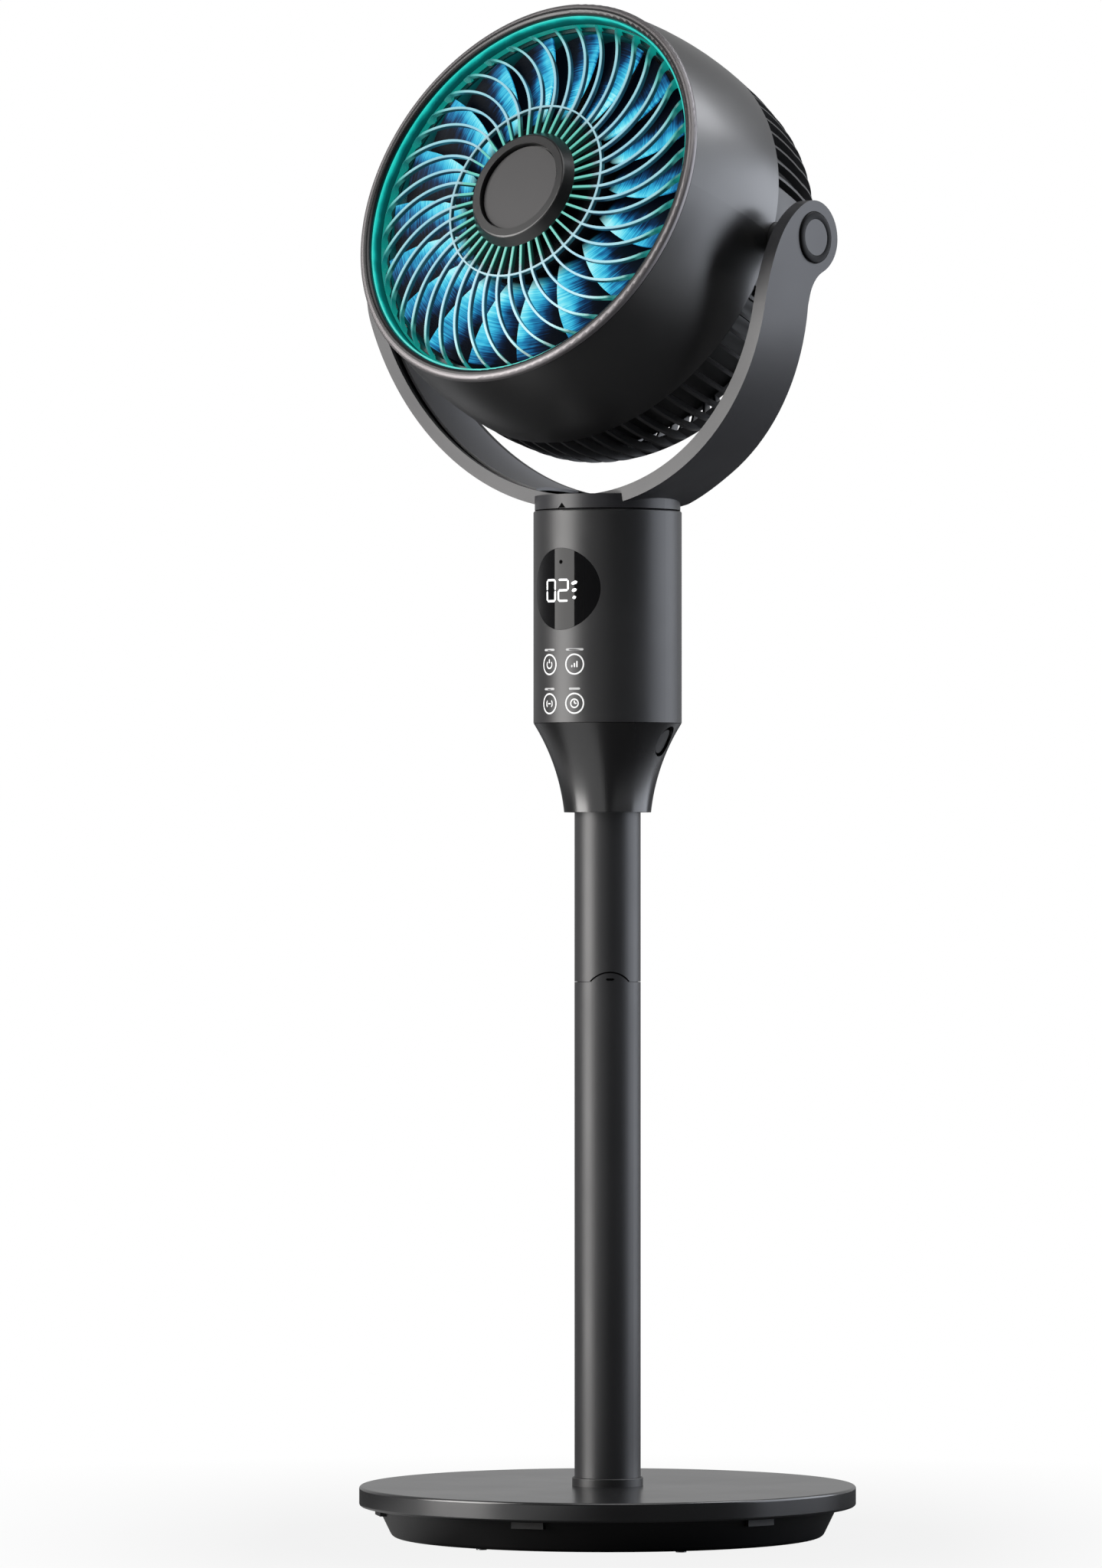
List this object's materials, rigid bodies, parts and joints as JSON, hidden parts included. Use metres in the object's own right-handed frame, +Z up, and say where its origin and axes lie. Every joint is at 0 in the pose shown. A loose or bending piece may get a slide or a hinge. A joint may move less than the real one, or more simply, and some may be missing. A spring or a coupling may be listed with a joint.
{
  "type": "pedestal fan",
  "caption": "Pedestal air-circulator fan: weighted round base, pole, control column with round display, swivelling U-shaped yoke and a tilting drum head with a lit ring.",
  "frame": {"origin": "under the middle of the base, on the floor", "axes": "+Z up along the pole, the front faces -Y, +X to the right ear of the yoke seen from behind the fan looking at -Y"},
  "size_m": [0.3166, 0.3, 0.9238],
  "materials": {
    "charcoal_plastic": "satin charcoal moulded plastic",
    "dark_plastic": "plain dark moulded plastic",
    "grey_plastic": "satin grey moulded plastic",
    "disc_plastic": "satin grey disc",
    "pole_paint": "satin charcoal paint",
    "gloss_black": "gloss black",
    "digits": "pale light block",
    "lit_teal": "translucent teal",
    "rib_plastic": "pale cyan grey ribs",
    "impeller_plastic": "gloss tinted blades",
    "bearing_plastic": "pale low-friction plastic",
    "board": "circuit board green",
    "inlet": "black socket",
    "rubber_feet": "black rubber",
    "weight_iron": "raw casting",
    "plated_steel": "plated steel",
    "motor_steel": "laminated and painted motor steel",
    "motor_alloy": "cast alloy"
  },
  "bodies": {
    "stand": {"base_cover": "charcoal_plastic", "base_tray": "dark_plastic", "base_feet": "rubber_feet", "base_weight": "weight_iron", "pole_socket": "plated_steel", "socket_bolts": "plated_steel", "pole_collar": "dark_plastic", "lower_pole": "pole_paint", "upper_pole": "pole_paint", "pole_sleeve": "plated_steel", "neck": "charcoal_plastic", "column_floor": "dark_plastic", "column_shell": "charcoal_plastic", "display_lens": "gloss_black", "display_frame": "dark_plastic", "display_board": "board", "digit_block": "digits", "touch_board": "board", "main_board": "board", "power_inlet": "inlet", "column_top": "dark_plastic", "swivel_bush": "bearing_plastic", "swing_motor": "plated_steel", "tapping_screws": "plated_steel"},
    "yoke": {"yoke": "grey_plastic", "yoke_liner": "dark_plastic", "pivot_pin_right": "plated_steel", "pivot_pin_left": "plated_steel", "pivot_cap_right": "grey_plastic", "pivot_cap_left": "grey_plastic", "friction_washers": "bearing_plastic", "spindle": "plated_steel", "swing_gear": "bearing_plastic", "spindle_clip": "plated_steel"},
    "head": {"shroud": "charcoal_plastic", "front_rim": "grey_plastic", "light_ring": "lit_teal", "led_board": "board", "air_duct": "dark_plastic", "front_grille": "rib_plastic", "hub_boss": "grey_plastic", "hub_disc": "disc_plastic", "rear_guard": "charcoal_plastic", "rear_cap": "charcoal_plastic", "tilt_bushes": "bearing_plastic", "motor_rear_bell": "motor_alloy", "motor_front_bell": "motor_alloy", "stator": "motor_steel", "bearings": "plated_steel", "motor_screws": "plated_steel", "driver_board": "board"},
    "rotor": {"impeller": "impeller_plastic", "impeller_nut": "plated_steel", "motor_shaft": "plated_steel", "rotor": "motor_steel"},
    "pinion": {"swing_pinion": "bearing_plastic"},
    "release_button": {"release_button": "dark_plastic"},
    "snap_pin": {"snap_pin": "plated_steel", "snap_spring": "plated_steel"}
  },
  "joints": [
    {"name": "yoke_swivel", "type": "hinge", "parent": "stand", "child": "yoke", "pos_m": [0, 0, 0.6208], "axis": [0, 0, 1], "range_deg": [-60, 60]},
    {"name": "swing_pinion_spin", "type": "hinge", "parent": "stand", "child": "pinion", "pos_m": [0.024, 0, 0.6], "axis": [0, 0, 1], "range_deg": [-181, 181]},
    {"name": "head_tilt", "type": "hinge", "parent": "yoke", "child": "head", "pos_m": [0, 0, 0.7783], "axis": [-1, 0, 0], "range_deg": [-36, 68]},
    {"name": "fan_spin", "type": "hinge", "parent": "head", "child": "rotor", "pos_m": [0, 0, 0.7783], "axis": [0, -0.9317, 0.3633], "continuous": true},
    {"name": "release_button_press", "type": "slide", "parent": "stand", "child": "release_button", "axis": [-0.9781, -0.2079, 0], "range_m": [0, 0.003], "stiffness_N_per_m": 900, "springref_m": -0.001},
    {"name": "snap_pin_slide", "type": "slide", "parent": "stand", "child": "snap_pin", "axis": [-0.9781, -0.2079, 0], "range_m": [0, 0.003]}
  ],
  "couplings": [
    {"joint": "swing_pinion_spin", "follows": "yoke_swivel", "ratio": -3},
    {"joint": "snap_pin_slide", "follows": "release_button_press", "ratio": 1}
  ]
}
